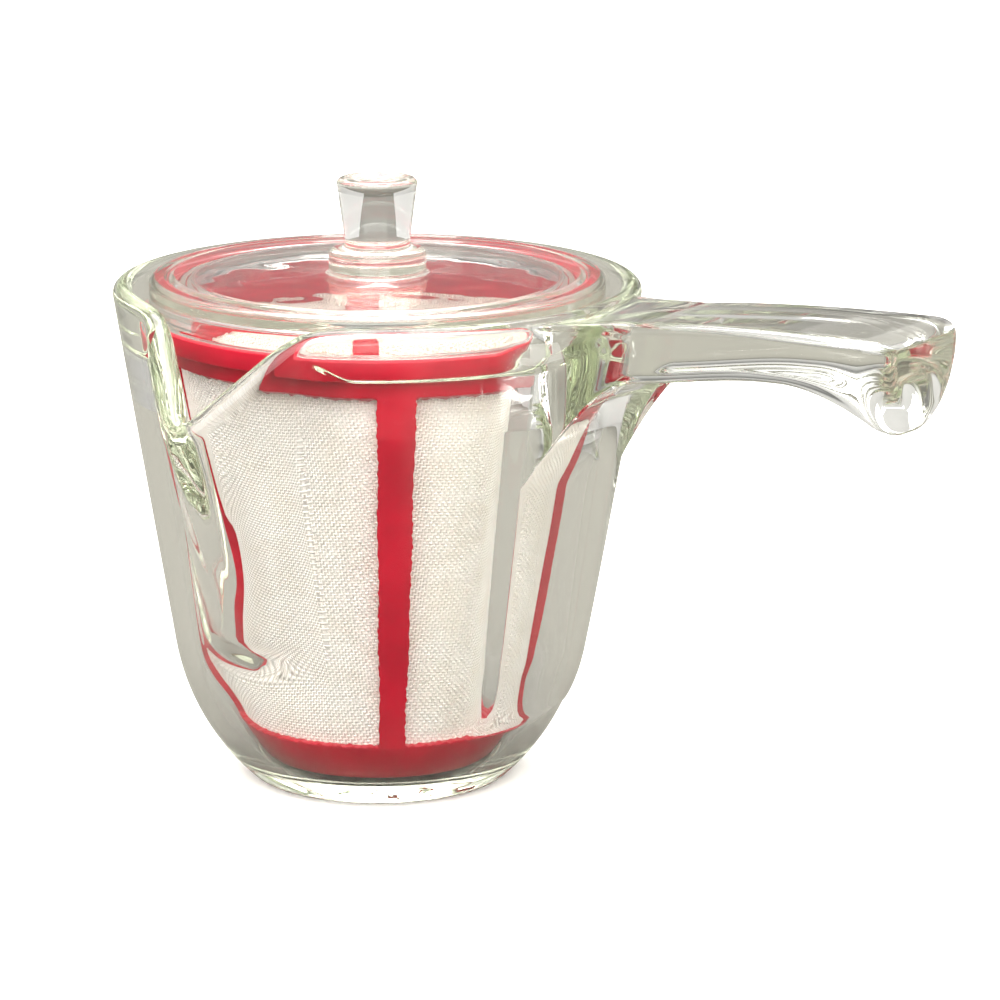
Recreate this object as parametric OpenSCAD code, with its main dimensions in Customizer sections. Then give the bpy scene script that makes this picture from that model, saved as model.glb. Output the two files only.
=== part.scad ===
// Cold brew teapot: a pressed glass pot with a poured beak and a solid side handle,
// a lift-out strainer basket and a loose glass lid.
// The origin is the centre of the base, the handle runs along +X and the beak points along -Y.

/* [Pot] */
// Outer radius of the pot at its rim
rim_r = 52.1; // [48:0.5:60]
// Height of the rim above the base
pot_h = 100; // [92:1:115]
// Radius of the flat base
base_r = 24.7; // [22:0.1:29]
// Draft of the outer wall, in degrees
wall_draft = 9.1; // [7:0.1:11]
// Draft of the inner wall, in degrees
core_draft = 7.5; // [6.5:0.1:8.5]
// Radius of the bowl that turns the wall into the base
bowl_r = 46; // [42:0.5:50]
// Glass thickness in the bowl
bowl_wall = 4; // [3:0.1:5]
// Glass thickness of the floor
floor_t = 6; // [4:0.5:8]
// Glass thickness at the rounded rim
rim_wall = 4.2; // [3:0.1:5]
// Depth of the strainer's seat below the rim
seat_drop = 10.5; // [9:0.5:14]
// Width of the seat
seat_w = 2.4; // [1.8:0.1:3]
// How far the seat stands in from the inner wall
seat_lip = 1.5; // [0.8:0.1:2.2]

/* [Beak] */
// Reach of the beak's tip from the pot's axis
beak_reach = 64; // [59:0.5:68]
// Depth of the tip's bead below the rim
beak_drop = 21; // [16:0.5:26]
// Angle from the beak's middle to where its lip leaves the rim
beak_angle = 21.5; // [17:0.5:26]
// Width of the blunt end of the tip
tip_w = 4; // [2:0.5:8]
// Width of the sloping lip at the tip
tip_lip = 7.2; // [5.5:0.1:9]
// Glass thickness of the beak
beak_wall = 4.4; // [3.5:0.1:5.5]
// Height of the foot of the trough above the base
trough_foot_z = 26; // [23:0.5:34]
// Rounding of the foot of the trough
trough_foot_r = 9.5; // [7:0.5:11]

/* [Handle] */
// Reach of the handle's end from the pot's axis
handle_reach = 123; // [108:0.5:140]
// Width of the handle at its root
handle_root_w = 28; // [24:0.5:32]
// Width of the handle near its end
handle_end_w = 31; // [26:0.5:36]
// Thickness of the handle at its root
handle_root_t = 10.6; // [8:0.1:13]
// Thickness of the handle at its waist
handle_waist_t = 10.1; // [7:0.1:11]
// Depth of the hoof at the handle's end
hoof_depth = 20.3; // [16:0.1:23]
// Length of the hoof along the handle
hoof_len = 23.5; // [20:0.5:30]
// Distance from the handle's end to where the hoof is deepest
hoof_toe = 3; // [2:0.5:6]
// Depth of the handle's top face below the rim, at the root
handle_drop = 0.3; // [0.2:0.1:3]
// Rise of the handle's top face from root to end
handle_rise = 4.1; // [0:0.1:7]
// Fillet of the handle's root along its sides
root_side_fillet = 9; // [5:0.5:12]
// Fillet of the handle's root along its underside
root_low_fillet = 20; // [14:0.5:26]
// Angle round the pot of the thick pad below the handle
pad_angle = 51; // [40:1:60]
// How far the pad stands out of the wall
pad_proud = 2.5; // [1:0.1:3.5]
// Height above the base at which the pad has faded into the bowl
pad_foot_z = 17; // [12:0.5:40]

/* [Strainer] */
// Height of the flange that sits on the seat
flange_h = 3.6; // [3:0.1:6]
// Clearance round the flange
flange_clear = 0.7; // [0.4:0.1:1.2]
// Clearance between the collar and the throat of the seat
collar_clear = 2.5; // [1.5:0.1:3]
// Height of the collar below the flange
collar_h = 3.4; // [2:0.1:6]
// Wall of the basket frame
frame_t = 1.8; // [1.4:0.1:2.4]
// Number of ribs
rib_count = 4; // [3:1:6]
// Angle round the basket that each rib covers
rib_angle = 9.8; // [7:0.1:14]
// Turn of the first rib from the handle, in degrees
rib_turn = 41; // [0:0.5:89]
// Height of the foot ring
foot_ring_h = 6.4; // [4:0.1:9]
// Height of the tapering wall that stays above and below each window
window_lip = 0.6; // [0.3:0.1:2]
// Clearance between the foot ring and the pot's floor
foot_clear = 1; // [0.6:0.1:2]
// Clearance between the foot ring's lower edge and the bowl
foot_side_clear = 1.2; // [0.8:0.1:2]
// Clearance between the foot ring's upper edge and the bowl
basket_clear = 2.8; // [2:0.1:4]
// Width of the ledge that carries the base mesh
mesh_ledge_w = 2.2; // [1.5:0.1:3]
// Thickness of the woven mesh
mesh_t = 0.5; // [0.4:0.1:0.8]
// Clearance round the edge of the base mesh
mesh_clear = 0.15; // [0.1:0.05:0.4]

/* [Lid] */
// Height of the lid's edge above its seat
lid_edge_h = 5.7; // [4.5:0.1:7]
// Play between the lid and the flange that it rests on
lid_play = 0.2; // [0.1:0.05:0.4]
// How far the lid's edge stays inside the flange
lid_inset = 0.2; // [0:0.1:1]
// Radius of the bead round the lid's edge
bead_r = 1.5; // [1:0.1:2]
// Depth of the groove inside the bead
groove_depth = 0.9; // [0.4:0.1:1.4]
// Rise of the lid's middle above its bead
dome_rise = 3; // [2:0.1:5]
// Glass thickness of the lid's middle
lid_t = 4.6; // [3.5:0.1:6]
// Depth of the ring that centres the lid in the strainer
spigot_depth = 3; // [2:0.1:4]
// Width of that ring
spigot_w = 3.2; // [2.4:0.1:4]
// Clearance between that ring and the flange's bore
spigot_clear = 0.8; // [0.4:0.1:1.5]

/* [Knob] */
// Radius of the knob's base
knob_base_r = 9.6; // [8:0.1:11]
// Height of the knob's base
knob_base_h = 4.2; // [3:0.1:5.5]
// Radius of the knob's neck
knob_neck_r = 6.2; // [5:0.1:7]
// Radius of the knob's head
knob_head_r = 8; // [7:0.1:10]
// Height of the knob above the lid
knob_h = 18; // [14:0.5:22]
// Rounding of the knob's head
knob_round = 1.6; // [1:0.1:2]
// Depth of the dish in the knob's top
knob_dish = 0.8; // [0.4:0.1:1.2]

/* [Hidden] */
PANELS = [for (i = [1 : rib_count]) str("mesh_panel_", i)];
$fn = 64;

// Facets of a rounded hull, and steps of a long and a short arc
hull_fn = 24;
arc_steps = 14;
soft_steps = 5;
glass = [0.86, 0.92, 0.84, 0.5];
red = [0.78, 0.08, 0.15];
linen = [0.9, 0.87, 0.83];

// The bowl's centre: its arc touches the outer wall and ends at the base's edge
wall_k = tan(wall_draft);
bowl_a = rim_r - wall_k * pot_h - bowl_r / cos(wall_draft);
bowl_b = base_r - bowl_a;
bowl_root = pow(wall_k * bowl_b, 2) - (1 + wall_k * wall_k) * (bowl_b * bowl_b - bowl_r * bowl_r);
bowl_z = (wall_k * bowl_b + sqrt(bowl_root)) / (1 + wall_k * wall_k);
bowl_x = bowl_a + wall_k * bowl_z;
wall_foot_z = bowl_z - bowl_r * sin(wall_draft);
core_bowl_r = bowl_r - bowl_wall;
core_foot_z = bowl_z - core_bowl_r * sin(core_draft);

// The seat, the rim and the stack of pieces above them
seat_z = pot_h - seat_drop;
throat_r = core_line(seat_z) - seat_lip;
throat_foot_z = seat_z - seat_lip / tan(core_draft);
seat_r = throat_r + seat_w;
rim_round = rim_wall / 2;
rim_x = wall_r(pot_h - rim_round) - rim_round / cos(wall_draft);
rim_z = pot_h - rim_round;
flange_z = seat_z + flange_h;
lid_z = flange_z + lid_play;
lid_top_z = lid_z + lid_edge_h;
knob_z = lid_top_z + dome_rise;

// The strainer, measured from the throat and the bowl
flange_r = seat_r - flange_clear;
collar_r = throat_r - collar_clear;
band_z = seat_z - collar_h;
basket_z = floor_t + foot_clear;
ring_z = basket_z + foot_ring_h;
ring_r = core_r(ring_z) - basket_clear;
foot_r = core_r(basket_z) - foot_side_clear;
mesh_z = basket_z + frame_t;
bore_r = collar_r - frame_t;
lid_r = flange_r - lid_inset;
spigot_r = bore_r - spigot_clear;

// The handle's root: its fillets run down to the pad, and the underside's one ends at the parting
fillet_share = 0.9;
handle_z = pot_h - handle_drop;
handle_low_z = handle_z - handle_root_t;
pad_r = wall_r(handle_low_z) + pad_proud;
side_x = sqrt(pow(pad_r + root_side_fillet, 2) - pow(handle_root_w / 2 + root_side_fillet, 2));
side_run = fillet_share * side_x * root_side_fillet / (pad_r + root_side_fillet);
low_run = fillet_share * root_low_fillet;
root_foot_z = handle_low_z - fillet(low_run, root_low_fillet);
boss_x = wall_r(root_foot_z) + pad_proud + low_run;

// How early the handle's top rises: below 1 most of the rise is near the root
rise_bend = 0.65;
// The handle's rounded edges: along the bar, round the hoof, and at the end in plan and below
handle_edge = 2.4;
hoof_edge = 13;
end_corner = 5.5;
end_face = 7.5;
corner_steps = 6;
most_round = 0.49;
most_low_round = 0.96;

// The beak's bead, how far it stays inside the rim's bead, and how far the trough's edge stays in from it
tip_bead_r = beak_wall / 2;
arm_sink = 0.4;
arm_lip_angle = 5;
// How far the trough's cutter stands above the rim
trough_above = 12;
// How far a rounded foot runs past the wall that it blends into
foot_blend = 1;
// How deep a fused piece starts inside the wall
sink = 0.5;
// Overlap that makes a cut pass clean through
through = 2;
// Where the revolved wall starts and ends, clear of the beak and the handle
seam_turn = 135;

// Outer radius of the straight wall at height z
function wall_r(z) = rim_r - wall_k * (pot_h - z);

// Outer radius of the pot at height z, wall or bowl
function outer_r(z) = z > wall_foot_z
    ? wall_r(z)
    : bowl_x + sqrt(pow(bowl_r, 2) - pow(z - bowl_z, 2));

// Inner radius of the straight wall at height z
function core_line(z) =
    bowl_x + (core_bowl_r + sin(core_draft) * (z - bowl_z)) / cos(core_draft);

// Inner radius of the pot at height z, wall or bowl
function core_r(z) = z > core_foot_z
    ? core_line(z)
    : bowl_x + sqrt(pow(core_bowl_r, 2) - pow(z - bowl_z, 2));

// Outer radius of the basket's tapering wall at height z
function basket_r(z) = ring_r + (collar_r - ring_r) * (z - ring_z) / (band_z - ring_z);

// Points of an arc about c from one angle to another
function arc(c, r, from, to, steps = arc_steps) =
    [for (i = [0 : steps])
        let (a = from + (to - from) * i / steps)
        c + r * [cos(a), sin(a)]];

// A value that eases from 0 to 1 between a and b
function ease(x, a, b) =
    let (t = min(1, max(0, (x - a) / (b - a)))) t * t * (3 - 2 * t);

// How far a fillet of radius r has left its flat face, a distance d along it
function fillet(d, r) = r - sqrt(r * r - d * d);

// A place in the beak: s out along -Y, z up
function beak_at(s, z, x = 0) = [x, -s, z];

// A rounded rectangle across the handle: half width w, from z low to z high
function bar_section(x, w, low, high, r_low, r_high) =
    let (corners = [[w - r_high, high - r_high, r_high, 0], [r_high - w, high - r_high, r_high, 90],
        [r_low - w, low + r_low, r_low, 180], [w - r_low, low + r_low, r_low, 270]])
    [for (c = corners, p = arc([c[0], c[1]], c[2], c[3], c[3] + 90, corner_steps)) [x, p[0], p[1]]];

// Triangles that join a row of sections, of n points each, into a closed bar
function bar_faces(rows, n) = concat(
    [for (r = [0 : rows - 2], i = [0 : n - 1])
        [r * n + i, (r + 1) * n + i, r * n + (i + 1) % n]],
    [for (r = [0 : rows - 2], i = [0 : n - 1])
        [r * n + (i + 1) % n, (r + 1) * n + i, (r + 1) * n + (i + 1) % n]],
    [[for (i = [0 : n - 1]) i]],
    [[for (i = [n - 1 : -1 : 0]) (rows - 1) * n + i]]);

// The handle's half width, top and thickness at a distance from the pot's axis
function along_handle(x) = (x - boss_x) / (handle_reach - boss_x);
function handle_w(x) = (handle_root_w + (handle_end_w - handle_root_w) * along_handle(x)) / 2;
function handle_top(x) = handle_z + handle_rise * sin(90 * pow(max(0, along_handle(x)), rise_bend));
function hoof_share(x) =
    pow(min(1, max(0, (x - handle_reach + hoof_len) / (hoof_len - hoof_toe))), 2);
function handle_t(x) =
    handle_root_t
    + (handle_waist_t - handle_root_t) * ease(x, boss_x, (boss_x + handle_reach) / 2)
    + (hoof_depth - handle_waist_t) * hoof_share(x);

// A section of the handle, drawn in by the turn of its rounded end, from 0 to 90 degrees
function handle_section(x, turn) =
    let (drawn = 1 - cos(turn),
        half_w = handle_w(x) - end_corner * drawn,
        high = handle_top(x) - handle_edge * drawn,
        low = handle_top(x) - handle_t(x) + (handle_t(x) - handle_edge - end_face) * drawn,
        edge = handle_edge * (1 - drawn / 2),
        top_edge = min(edge, most_round * (high - low)),
        low_edge = edge + (hoof_edge - handle_edge) * hoof_share(x),
        low_most = most_low_round * min(half_w, high - low - top_edge))
    bar_section(x, half_w, low, high, min(low_edge, low_most), top_edge);

// A section of the handle's root, which flares into the pad along its sides and its underside
function root_section(x) =
    let (out = fillet(min(side_run, max(0, side_x - x)), root_side_fillet),
        drop = fillet(min(low_run, max(0, boss_x - x)), root_low_fillet))
    bar_section(x, handle_root_w / 2 + out, handle_low_z - drop, handle_z, handle_edge, handle_edge);

// The glass wall's cross-section, from the base round the rim to the floor
module wall_profile() {
    polygon(concat(
        [[0, 0]],
        arc([bowl_x, bowl_z], bowl_r, asin(-bowl_z / bowl_r), -wall_draft),
        arc([rim_x, rim_z], rim_round, -wall_draft, 180),
        [[seat_r, seat_z], [throat_r, seat_z], [throat_r, throat_foot_z]],
        arc([bowl_x, bowl_z], core_bowl_r, -core_draft, asin((floor_t - bowl_z) / core_bowl_r)),
        [[0, floor_t]]));
}

// The space inside the middle of the wall, which trims what is fused on from outside
module wall_core() {
    rotate([0, 0, seam_turn])
        rotate_extrude()
            polygon([[0, 0], [wall_r(0) - rim_round, 0],
                [wall_r(pot_h) - rim_round, pot_h], [rim_x, pot_h + through], [0, pot_h + through]]);
}

// The beak's outside: a blunt beaded tip, two arms along the rim and a foot low on the wall
module beak_outside() {
    hull() {
        for (side = [-1, 1])
            translate(beak_at(beak_reach - tip_bead_r, pot_h - beak_drop, side * tip_w / 2))
                sphere(tip_bead_r, $fn = hull_fn);
        for (side = [-1, 1])
            rotate([0, 0, side * beak_angle])
                translate(beak_at(rim_x, rim_z))
                    sphere(rim_round - arm_sink, $fn = hull_fn);
        translate(beak_at(wall_r(trough_foot_z) - trough_foot_r - foot_blend, trough_foot_z))
            sphere(trough_foot_r, $fn = hull_fn);
    }
}

// The beak's trough: it opens the rim between the arms and runs down to the foot
module beak_trough() {
    r = tip_bead_r;
    arm_angle = beak_angle - arm_lip_angle;
    tip_s = beak_reach - tip_lip - r;
    tip_z = pot_h - beak_drop + r / 2;
    foot_r = trough_foot_r - beak_wall + foot_blend;
    hull() {
        for (up = [0, beak_drop + trough_above])
            translate(beak_at(tip_s, tip_z + up))
                sphere(r, $fn = hull_fn);
        for (side = [-1, 1], up = [0, trough_above], s = [rim_x, throat_r - seat_w])
            rotate([0, 0, side * arm_angle])
                translate(beak_at(s, pot_h + up))
                    sphere(r, $fn = hull_fn);
        translate(beak_at(core_r(trough_foot_z) - foot_r + foot_blend, trough_foot_z + beak_wall))
            sphere(foot_r, $fn = hull_fn);
    }
}

// The root of the handle, flared into the wall and cut square at the parting
module handle_root() {
    rows = 18;
    start = wall_r(root_foot_z) - rim_round;
    sections = [for (i = [0 : rows - 1]) root_section(start + (boss_x - start) * i / (rows - 1))];
    polyhedron([for (s = sections) each s], bar_faces(rows, len(sections[0])));
}

// The thick pad of glass under the handle, which fades into the bowl
module handle_pad() {
    top_z = handle_z - handle_root_t / 2;
    rise = [for (i = [0 : arc_steps])
        let (z = pad_foot_z + (top_z - pad_foot_z) * i / arc_steps)
        [outer_r(z) - sink + (pad_proud + sink) * sqrt(i / arc_steps), z]];
    rotate([0, 0, -pad_angle / 2])
        rotate_extrude(angle = pad_angle)
            polygon(concat([[outer_r(pad_foot_z) - rim_round, pad_foot_z]], rise,
                [[wall_r(top_z) - rim_round, top_z]]));
}

module pot_body() {
    color(glass)
        difference() {
            union() {
                rotate([0, 0, seam_turn])
                    rotate_extrude()
                        wall_profile();
                handle_pad();
                difference() {
                    union() {
                        beak_outside();
                        handle_root();
                    }
                    wall_core();
                }
            }
            beak_trough();
        }
}

// The solid side handle, from the flat parting at its root to the hoof
module pot_handle() {
    straight = 16;
    round_rows = 9;
    from = handle_reach - end_corner;
    sections = concat(
        [for (i = [0 : straight - 1]) handle_section(boss_x + (from - boss_x) * i / straight, 0)],
        [for (i = [0 : round_rows - 1])
            let (turn = 90 * i / (round_rows - 1))
            handle_section(from + end_corner * sin(turn), turn)]);
    color(glass)
        polyhedron([for (s = sections) each s], bar_faces(len(sections), len(sections[0])));
}

// The basket's cross-section: flange, collar, tapering wall and foot ring with its mesh ledge
module frame_profile() {
    soft = frame_t / 3;
    ledge_r = foot_r - frame_t - mesh_ledge_w;
    polygon(concat(
        arc([flange_r - soft, flange_z - soft], soft, 90, 0, soft_steps),
        [[flange_r, seat_z], [collar_r, seat_z], [collar_r, band_z], [ring_r, ring_z]],
        [[foot_r, basket_z + soft], [foot_r - soft, basket_z], [ledge_r, basket_z], [ledge_r, mesh_z]],
        [[foot_r - frame_t, mesh_z], [ring_r - frame_t, ring_z], [bore_r, band_z]],
        arc([bore_r + soft, flange_z - soft], soft, 180, 90, soft_steps)));
}

// A sector of the basket's wall between two ribs, from one depth to another below its outside
module window_sector(inner, outer) {
    low = ring_z + window_lip;
    high = band_z - window_lip;
    rotate_extrude(angle = 360 / rib_count - rib_angle)
        polygon([[basket_r(low) - inner, low], [basket_r(low) - outer, low],
            [basket_r(high) - outer, high], [basket_r(high) - inner, high]]);
}

// Turns its children to the window after rib i
module at_window(i) {
    rotate([0, 0, rib_turn + rib_angle / 2 + 360 * i / rib_count])
        children();
}

module strainer_frame() {
    color(red)
        difference() {
            rotate([0, 0, rib_turn])
                rotate_extrude()
                    frame_profile();
            for (i = [0 : rib_count - 1])
                at_window(i)
                    window_sector(frame_t + through, -through);
        }
}

// One woven panel, held at the middle of the frame's wall
module mesh_panel(i) {
    color(linen)
        at_window(i)
            window_sector((frame_t + mesh_t) / 2, (frame_t - mesh_t) / 2);
}

// The woven disc on the foot ring's ledge
module mesh_base() {
    color(linen)
        translate([0, 0, mesh_z])
            cylinder(h = mesh_t, r = foot_r - frame_t - mesh_clear);
}

// The lid's cross-section: centring ring, seat, edge bead, groove and domed middle
module lid_profile() {
    soft = bead_r / 2;
    under_r = spigot_r - spigot_w;
    groove_x = lid_r - 3 * bead_r;
    groove_z = lid_top_z - groove_depth;
    dome_x = knob_base_r + bead_r;
    polygon(concat(
        [[0, knob_z - lid_t], [under_r, lid_z + bead_r], [under_r, lid_z - spigot_depth]],
        [[spigot_r, lid_z - spigot_depth], [spigot_r, lid_z]],
        arc([lid_r - soft, lid_z + soft], soft, -90, 0, soft_steps),
        arc([lid_r - bead_r, lid_top_z - bead_r], bead_r, 0, 150),
        [for (i = [0 : arc_steps])
            let (t = i / arc_steps)
            [groove_x + (dome_x - groove_x) * t, groove_z + (knob_z - groove_z) * sin(90 * t)]],
        [[0, knob_z]]));
}

module lid_plate() {
    color(glass)
        rotate_extrude()
            lid_profile();
}

// The knob's cross-section: a rounded base, a drawn-in neck and a head with a dished top
module knob_profile() {
    soft = knob_base_h / 3;
    base_top = knob_z + knob_base_h;
    top_z = knob_z + knob_h;
    head_x = knob_head_r - knob_round;
    polygon(concat(
        [[0, knob_z], [knob_base_r - soft, knob_z]],
        arc([knob_base_r - soft, knob_z + soft], soft, -90, 0, soft_steps),
        arc([knob_base_r - soft, base_top - soft], soft, 0, 90, soft_steps),
        arc([knob_neck_r + soft, base_top + soft], soft, -90, -180, soft_steps),
        arc([head_x, top_z - knob_round], knob_round, -10, 90, soft_steps),
        [for (i = [1 : arc_steps])
            let (t = 1 - i / arc_steps)
            [head_x * t, top_z - knob_dish * (1 - t * t)]]));
}

module lid_knob() {
    color(glass)
        rotate_extrude()
            knob_profile();
}

pot_body();
pot_handle();
strainer_frame();
for (i = [0 : rib_count - 1])
    mesh_panel(i);
mesh_base();
lid_plate();
lid_knob();
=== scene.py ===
"""Looks of the cold brew teapot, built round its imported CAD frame.

The pot and its handle are one closed surface of glass, and the lid and its knob another. The
strainer's moulded frame and its woven net are surfaces of their own. All lengths are in metres,
with the handle along +X, the beak along -Y and the floor at z = 0.
"""
import math

import bmesh
import bpy
import numpy as np
from bpy.props import FloatProperty, FloatVectorProperty, IntProperty, PointerProperty
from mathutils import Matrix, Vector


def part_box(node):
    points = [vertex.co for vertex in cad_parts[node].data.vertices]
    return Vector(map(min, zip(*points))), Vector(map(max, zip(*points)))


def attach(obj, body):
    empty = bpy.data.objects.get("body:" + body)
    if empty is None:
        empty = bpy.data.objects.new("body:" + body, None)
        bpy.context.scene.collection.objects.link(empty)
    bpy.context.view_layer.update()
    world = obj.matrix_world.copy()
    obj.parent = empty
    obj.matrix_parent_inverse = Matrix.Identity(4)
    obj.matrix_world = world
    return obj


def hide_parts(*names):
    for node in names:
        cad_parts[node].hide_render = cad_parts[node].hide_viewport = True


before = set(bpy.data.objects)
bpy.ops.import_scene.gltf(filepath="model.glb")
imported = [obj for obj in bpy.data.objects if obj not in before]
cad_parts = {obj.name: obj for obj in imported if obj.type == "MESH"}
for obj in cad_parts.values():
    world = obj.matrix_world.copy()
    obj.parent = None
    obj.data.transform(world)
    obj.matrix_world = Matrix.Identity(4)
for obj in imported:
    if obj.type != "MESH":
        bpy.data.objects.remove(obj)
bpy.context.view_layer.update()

bl_info = {
    "name": "Cold brew teapot",
    "version": (1, 0, 0),
    "blender": (4, 5, 0),
    "location": "3D View > Sidebar > Teapot",
    "description": "Builds a pressed glass cold brew teapot with its strainer, lid and stage",
    "category": "Add Mesh",
}

MM = 0.001
POT_LOW, POT_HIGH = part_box("pot_body")
BAR_LOW, BAR_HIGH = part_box("pot_handle")
BASKET_LOW, BASKET_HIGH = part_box("strainer_frame")
PANEL_LOW, PANEL_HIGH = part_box("mesh_panel_1")
NET_LOW, NET_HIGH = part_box("mesh_base")
LID_LOW, LID_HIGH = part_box("lid_plate")
KNOB_LOW, KNOB_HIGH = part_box("lid_knob")
PANELS = sorted(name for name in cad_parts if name.startswith("mesh_panel"))
# Colour of the lights and the sky
WARM_WHITE = (1, 0.98, 0.95)


def linear(code):
    """An sRGB hex colour as linear red, green and blue."""
    parts = [int(code[i : i + 2], 16) / 255 for i in (1, 3, 5)]
    return [c / 12.92 if c <= 0.04045 else ((c + 0.055) / 1.055) ** 2.4 for c in parts]


def amount(name, description, default, **kind):
    """A number that the user can change."""
    return FloatProperty(name=name, description=description, default=default, **kind)


def length(name, description, default):
    """A length in metres that the user can change."""
    return amount(name, description, default, unit="LENGTH", precision=4)


def turn(name, description, degrees):
    """An angle that the user can change."""
    return amount(name, description, math.radians(degrees), subtype="ANGLE")


def colour(name, description, code):
    """A colour that the user can change."""
    return FloatVectorProperty(
        name=name, description=description, default=linear(code), subtype="COLOR", min=0, max=1
    )


class PotSizes(bpy.types.PropertyGroup):
    """Sizes of the glass pot."""

    rim_radius: length("Rim radius", "Outside radius of the rim", POT_HIGH.y)
    height: length("Height", "Height of the rim above the floor", POT_HIGH.z)
    base_radius: length("Base radius", "Radius of the flat base", 24.7 * MM)
    wall_draft: turn("Wall draft", "Slope of the outside wall", 9.1)
    core_draft: turn("Core draft", "Slope of the inside wall", 7.5)
    bowl_radius: length("Bowl radius", "Radius of the round bowl", 46 * MM)
    bowl_wall: length("Bowl wall", "Thickness of the bowl", 4 * MM)
    floor_depth: length("Floor", "Thickness of the base", 6 * MM)
    floor_round: length("Floor rounding", "Rounding between the bowl and the floor inside", 6 * MM)
    heel: length("Heel", "Rounding of the base's edge", 1.6 * MM)
    lip_radius: length("Lip radius", "Half the thickness of the rim", 2.1 * MM)
    seat_height: length("Seat height", "Height of the strainer's seat", BASKET_HIGH.z - 3.6 * MM)
    seat_radius: length("Seat radius", "Radius of the seat's wall", BASKET_HIGH.y + 0.7 * MM)
    seat_width: length("Seat width", "Width of the seat", 2.4 * MM)
    beak_angle: turn("Beak angle", "Half the angle that the beak takes up on the rim", 21.5)
    beak_reach: length("Beak reach", "Reach of the tip from the axis", -POT_LOW.y)
    beak_drop: length("Beak drop", "Fall of the lip from the rim to the tip", 18.9 * MM)
    beak_lip: length("Beak lip", "Half the thickness of the lip along the beak", 2.7 * MM)
    tip_width: length("Tip width", "Width of the blunt tip", 3 * MM)
    prow_foot: length("Prow foot", "Height where the beak leaves the wall", 24 * MM)
    trough_foot: length("Trough foot", "Height where the trough starts inside", 29 * MM)
    pad_proud: length("Pad", "Thickness of the pad under the handle", 2.9 * MM)
    pad_angle: turn("Pad angle", "Half the angle that the pad takes up", 23.5)
    pad_flank: turn("Pad flank", "Half the angle over which the pad's sides fade", 4)
    pad_foot: length("Pad foot", "Height where the pad fades out", 17 * MM)
    pad_top: length("Pad top", "Height where the pad is thickest", 94 * MM)


class HandleSizes(bpy.types.PropertyGroup):
    """Sizes of the glass handle."""

    root_x: length("Root", "Distance of the straight bar's start from the axis", BAR_LOW.x)
    reach: length("Reach", "Distance of the handle's end from the axis", BAR_HIGH.x)
    root_width: length("Root width", "Width at the root", 28 * MM)
    end_width: length("End width", "Width near the end", BAR_HIGH.y - BAR_LOW.y)
    root_depth: length("Root depth", "Thickness at the root", 11.6 * MM)
    waist_depth: length("Waist depth", "Thickness at the waist", 10 * MM)
    hoof_depth: length("Hoof depth", "Thickness of the hoof", 20.3 * MM)
    hoof_length: length("Hoof length", "Length of the hoof", 23.5 * MM)
    hoof_toe: length("Hoof toe", "Distance from the end to the hoof's deepest place", 3 * MM)
    top: length("Top", "Height of the top face at the root", POT_HIGH.z + 1 * MM)
    rise: length("Rise", "Rise of the top face along the handle", 2.8 * MM)
    edge: length("Edge", "Rounding of the bar's edges", 2.4 * MM)
    hoof_edge: length("Hoof edge", "Rounding of the hoof's lower edges", 13 * MM)
    end_corner: length("End corner", "Rounding of the end in plan", 5.5 * MM)
    end_face: length("End face", "Height of the flat end face", 7.5 * MM)
    root_angle: turn("Root angle", "Half the angle that the root's fillet takes up", 21)
    root_foot: length("Root foot", "Height where the root's lower fillet starts", 66 * MM)
    low_pull: length("Low pull", "Sweep of the root's lower fillet along the wall", 29 * MM)
    side_pull: length("Side pull", "Sweep of the root's side fillets along the wall", 15 * MM)
    rim_pull: length("Rim pull", "Sweep of the root's fillet at the rim", 2 * MM)


class StrainerSizes(bpy.types.PropertyGroup):
    """Sizes of the strainer."""

    flange_radius: length("Flange radius", "Outside radius of the flange", BASKET_HIGH.y)
    flange_height: length("Flange height", "Height of the flange", 3.6 * MM)
    collar_radius: length("Collar radius", "Outside radius under the flange", 40.65 * MM)
    collar_height: length("Collar height", "Height of the plain band", 3.4 * MM)
    ring_radius: length("Ring radius", "Outside radius at the top of the foot ring", 28.2 * MM)
    ring_height: length("Ring height", "Height of the foot ring", 6.4 * MM)
    foot_radius: length("Foot radius", "Outside radius at the bottom", 25.03 * MM)
    ledge: length("Ledge", "Width of the ledge under the bottom net", 2.2 * MM)
    wall: length("Wall", "Thickness of the moulded wall", 1.8 * MM)
    rib_count: IntProperty(name="Ribs", description="Number of ribs", default=len(PANELS), min=2)
    rib_angle: turn("Rib angle", "Angle that a rib takes up", 9.8)
    rib_proud: length("Rib proud", "How far ribs and collar stand out from the moulded wall", 1.3 * MM)
    rib_fade: length("Rib fade", "Height over which a rib rises from the foot ring", 30 * MM)
    rib_turn: turn("Rib turn", "Turn of the first rib from the handle", 41)
    flash: length("Flash", "How far the moulded edges wander over the net", 0.3 * MM)
    touch_gap: length("Touch gap", "Room left between pieces that rest on each other", 0.05 * MM)
    # Nets like this have finer threads, which are drawn coarse enough to show in the render
    pitch: length("Thread pitch", "Spacing of the threads", 0.6 * MM)
    thread: length("Thread width", "Width of a flattened thread", 0.58 * MM)
    thread_depth: length("Thread depth", "Thickness of a flattened thread", 0.13 * MM)
    swing: length("Thread swing", "How far a thread goes over and under its neighbours", 0.05 * MM)


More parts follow.
